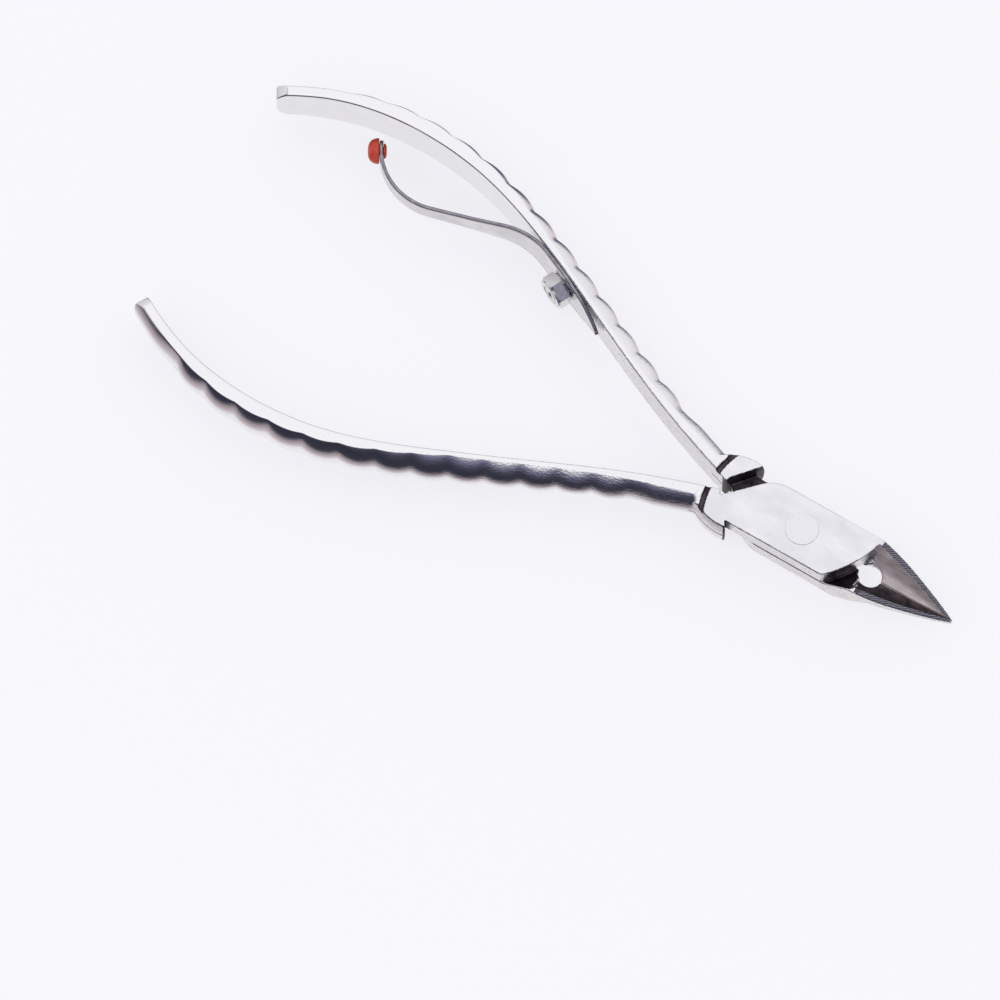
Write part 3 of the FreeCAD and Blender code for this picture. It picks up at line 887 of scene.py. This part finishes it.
def worked_as(centre, normal, left):
    """Index of the finish for one face, in the half's own place."""
    x, y, z = centre / MM
    y, ny = y * left, normal.y * left
    reach = math.hypot(x, y)
    if x < -13.4:
        return POLISHED
    if abs(normal.z) > 0.97 and reach < RUN_OUT - 0.1 and (z > LAP - 0.05 or z < 0.05):
        return FACED
    # Painted shade in the run-out groove, in the slot between the halves and on the shoulder wall.
    in_groove = RUN_OUT - 0.2 < reach < RUN_OUT + 0.7 and MID - 0.5 < abs(z - MID) < MID - 0.03
    if x < -8.0 and in_groove and abs(normal.z) > 0.15:
        return PAINTED_SHADE
    wall = plane(x, y, (-11.42, 0.5), (3.62, 4.35))
    if x < -5.0 and (abs(z - MID) < 0.1 or (abs(wall) < 0.3 and 0.2 < z < LAP - 0.1)):
        return PAINTED_SHADE
    side = float(np.interp(x, JAW_SIDE[:, 0], JAW_SIDE[:, 1])) if x > 9.1 else HALF_WIDTH
    # Painted shade on the near jaw's ramp in front of the throat.
    on_ramp = normal.x < -0.25 or z < MID + 0.35
    if left > 0 and 4.0 < x < 9.9 and z > MID - 0.1 and on_ramp and -y < side - 0.12:
        return PAINTED_SHADE
    rim_here = LAP - (x - 9.1) * RIM_SLOPE
    rim_start = 9.9 if left > 0 else 7.7
    if x > rim_start and y < 0.3 and normal.z > 0.72 and abs(z - rim_here) < 0.16:
        return RIM
    # Painted shade in the near jaw's hollow; the far jaw's hollow is pale ground steel.
    if x > 7.2 and y < 0.3 and z > 1.7 and (ny > 0.12 or normal.z > 0.1):
        if -y < side - 0.12 and reach > 9.3:
            return PAINTED_SHADE if left > 0 else SCOOPED
    return POLISHED


def finish_half(made, left):
    """Give a half its five finishes; left is 1 for the half with its handle at +Y."""
    for finish in (polished, faced, ground, painted_shade_steel, scooped):
        made.data.materials.append(finish)
    count = [0] * 5
    for face in made.data.polygons:
        face.material_index = worked_as(np.array(face.center), face.normal, left)
        count[face.material_index] += 1
    print(made.name, "faces by finish", count)


finish_half(spring_half, 1)
finish_half(plain_half, -1)

# %% [markdown]
# The small parts: the rivet is brushed straight after riveting, the leaf is drawn
# spring steel with grain along its length, the screw is turned and bright, and the
# bead is a soft red plastic with a satin skin.

# %% Small parts
rivet_finish, _ = new_finish("brushed_rivet", (0.81, 0.81, 0.85), 0.34)
rougher(rivet_finish, grain(rivet_finish, 900, (14, 1, 1), 0.2), 0.28, 0.42)
relief(rivet_finish, grain(rivet_finish, 1500, (16, 1, 1), 0.2), 0.000003, 0.6)

leaf_finish, _ = new_finish("drawn_spring_steel", (0.74, 0.74, 0.77), 0.2)
rougher(leaf_finish, grain(leaf_finish, 800, (1, 1, 10)), 0.13, 0.28)
shade(leaf_finish, grain(leaf_finish, 300), (0.66, 0.66, 0.70), (0.80, 0.80, 0.82))
relief(leaf_finish, grain(leaf_finish, 1600, (1, 1, 12)), 0.000003, 0.5)

screw_finish, _ = new_finish("turned_screw_steel", (0.78, 0.77, 0.78), 0.17)
rougher(screw_finish, grain(screw_finish, 1400), 0.12, 0.26)
relief(screw_finish, grain(screw_finish, 3000), 0.000003, 0.5)

edge_finish, _ = new_finish("sheared_edge", (0.20, 0.20, 0.22), 0.4)
shade(edge_finish, grain(edge_finish, 1200), (0.24, 0.23, 0.28), (0.44, 0.43, 0.48))
relief(edge_finish, grain(edge_finish, 3000), 0.000005, 0.5)

bead_finish, bead_shader = new_finish("red_bumper", (0.56, 0.045, 0.02), 0.36, 0.0)
shade(bead_finish, grain(bead_finish, 900), (0.50, 0.035, 0.016), (0.62, 0.055, 0.026))
relief(bead_finish, grain(bead_finish, 2600), 0.000006, 0.5)
bead_shader.inputs["Coat Weight"].default_value = 0.25
bead_shader.inputs["Coat Roughness"].default_value = 0.25

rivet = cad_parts["pivot_rivet"]
for made, finish in ((rivet, rivet_finish), (leaf, leaf_finish), (screw, screw_finish),
                     (bead, bead_finish)):
    made.data.materials.clear()
    made.data.materials.append(finish)
    print(made.name, "is", finish.name)
leaf.data.materials.append(edge_finish)
for face in leaf.data.polygons:
    face.material_index = int(abs(face.normal.z) > 0.6)

# %% [markdown]
# The table is plain pale paper. It glows a little of itself, so the shadows on it
# stay as faint as on a lit studio table.

# %% Table and lamp
bpy.ops.mesh.primitive_plane_add(size=3, location=(0, 0, cad_low.z - 0.00005))
table = bpy.context.object
table.name = "table_top"
table.visible_glossy = False
paper, paper_shader = new_finish("pale_paper", (0.24, 0.24, 0.25), 0.9, 0.0)
paper_shader.inputs["Specular IOR Level"].default_value = 0.0
paper_shader.inputs["Emission Color"].default_value = (0.92, 0.92, 0.965, 1)
paper_shader.inputs["Emission Strength"].default_value = 0.78
table.data.materials.append(paper)

lamp_data = bpy.data.lights.new("soft_lamp", "AREA")
lamp_data.size = 0.8
lamp_data.energy = 1.6
lamp = bpy.data.objects.new("soft_lamp", lamp_data)
bpy.context.scene.collection.objects.link(lamp)
lamp.location = (-0.25, -0.55, 0.85)
lamp.rotation_euler = (-lamp.location).to_track_quat("-Z", "Y").to_euler()
lamp.visible_glossy = False
print("table at z", round(cad_low.z / MM, 2), "mm, one soft lamp")

# %% [markdown]
# Polished steel shows its surroundings, so the room matters as much as the metal.
# The room is white overhead. Its near side is dark from below level to high up, its
# far side is pale with one dusky card low down, and the side at the tail is pale.
# Mirror rays see these cards, and all other rays see plain white.

# %% Cards round the tool
world = bpy.data.worlds.new("studio")
bpy.context.scene.world = world
world.use_nodes = True
nodes, links = world.node_tree.nodes, world.node_tree.links
nodes.clear()
coords = nodes.new("ShaderNodeTexCoord")
split = nodes.new("ShaderNodeSeparateXYZ")
links.new(coords.outputs["Generated"], split.inputs[0])


def card_ramp(stops):
    """Tone by height, from straight down at -1 to overhead at 1."""
    ramp = nodes.new("ShaderNodeValToRGB")
    while len(ramp.color_ramp.elements) < len(stops):
        ramp.color_ramp.elements.new(0.5)
    for mark, (height, value, tint) in zip(ramp.color_ramp.elements, stops):
        mark.position = (height + 1) / 2
        mark.color = (*(value * c for c in tint), 1)
    links.new(height_of, ramp.inputs[0])
    return ramp.outputs["Color"]


def world_fit(source, start, end):
    """Soft step from 0 at start to 1 at end."""
    fit = nodes.new("ShaderNodeMapRange")
    fit.interpolation_type = "SMOOTHSTEP"
    fit.inputs["From Min"].default_value = start
    fit.inputs["From Max"].default_value = end
    links.new(source, fit.inputs["Value"])
    return fit.outputs[0]


def towards(way):
    """How closely a direction points the given way."""
    dot = nodes.new("ShaderNodeVectorMath")
    dot.operation = "DOT_PRODUCT"
    dot.inputs[1].default_value = Vector(way).normalized()
    links.new(coords.outputs["Generated"], dot.inputs[0])
    return dot.outputs["Value"]


def blend_cards(factor, first, second):
    """First card where the factor is 0, second where it is 1."""
    mix = nodes.new("ShaderNodeMixRGB")
    links.new(factor, mix.inputs["Fac"])
    links.new(first, mix.inputs["Color1"])
    links.new(second, mix.inputs["Color2"])
    return mix.outputs["Color"]


WHITE, DUSK, CLAY = (1, 0.985, 1), (0.85, 0.84, 1.3), (1.1, 0.95, 1.0)
level = nodes.new("ShaderNodeMapRange")
level.inputs["From Min"].default_value = -1
links.new(split.outputs["Z"], level.inputs["Value"])
height_of = level.outputs[0]
near_side = card_ramp([(-1, .92, WHITE), (-.92, .88, WHITE), (-.84, .55, CLAY), (-.68, .3, CLAY),
                       (-.55, .05, DUSK), (-.1, .035, DUSK), (.3, .07, DUSK), (.52, .16, DUSK),
                       (.68, .26, DUSK), (.79, .36, WHITE), (.88, 1.05, WHITE), (1, 1.05, WHITE)])
far_side = card_ramp([(-1, .8, WHITE), (-.6, .7, CLAY), (-.3, .85, WHITE), (.5, .95, WHITE),
                      (1, 1.05, WHITE)])
tail_side = card_ramp([(-1, .8, WHITE), (-.4, .7, WHITE), (.4, .8, WHITE), (1, 1.05, WHITE)])
dusk_card = card_ramp([(-1, .14, DUSK), (1, .14, DUSK)])
room = blend_cards(world_fit(split.outputs["Y"], -0.05, 0.25), near_side, far_side)
room = blend_cards(world_fit(towards((-0.3, 0.74, -0.6)), 0.9, 0.96), room, dusk_card)
room = blend_cards(world_fit(towards((-1, 0, 0)), 0.62, 0.82), room, tail_side)
soft = nodes.new("ShaderNodeBackground")
cards = nodes.new("ShaderNodeBackground")
links.new(room, cards.inputs["Color"])
soft.inputs["Color"].default_value = (1, 1, 1, 1)
soft.inputs["Strength"].default_value = 0.8
path = nodes.new("ShaderNodeLightPath")
choose = nodes.new("ShaderNodeMixShader")
out = nodes.new("ShaderNodeOutputWorld")
links.new(path.outputs["Is Glossy Ray"], choose.inputs[0])
links.new(soft.outputs[0], choose.inputs[1])
links.new(cards.outputs[0], choose.inputs[2])
links.new(choose.outputs[0], out.inputs[0])
bpy.context.scene.view_settings.view_transform = "Standard"
print("room of", len(nodes), "nodes")

# %% [markdown]
# The camera looks down from a long way off, turned a third of a right angle, so
# the jaws point to the lower right and the handles to the upper left.

# %% Camera
AZIMUTH, ELEVATION, DISTANCE = math.radians(31.06), math.radians(70.3), 1.5
right = Vector((math.cos(AZIMUTH), math.sin(AZIMUTH), 0))
ahead = Vector((-math.sin(AZIMUTH) * math.cos(ELEVATION),
                math.cos(AZIMUTH) * math.cos(ELEVATION), -math.sin(ELEVATION)))
above = right.cross(ahead)
camera_data = bpy.data.cameras.new("studio_camera")
camera_data.sensor_width = 36.0
camera_data.lens = 448.2
camera_data.clip_end = 20
camera = bpy.data.objects.new("studio_camera", camera_data)
bpy.context.scene.collection.objects.link(camera)
aim = Vector((0, 0, LAP * MM))
camera.location = aim - DISTANCE * (ahead + right * 0.02426 - above * 0.00233)
camera.rotation_euler = Matrix((right, above, -ahead)).transposed().to_euler()
bpy.context.scene.camera = camera
print("camera", round(DISTANCE, 2), "m away")
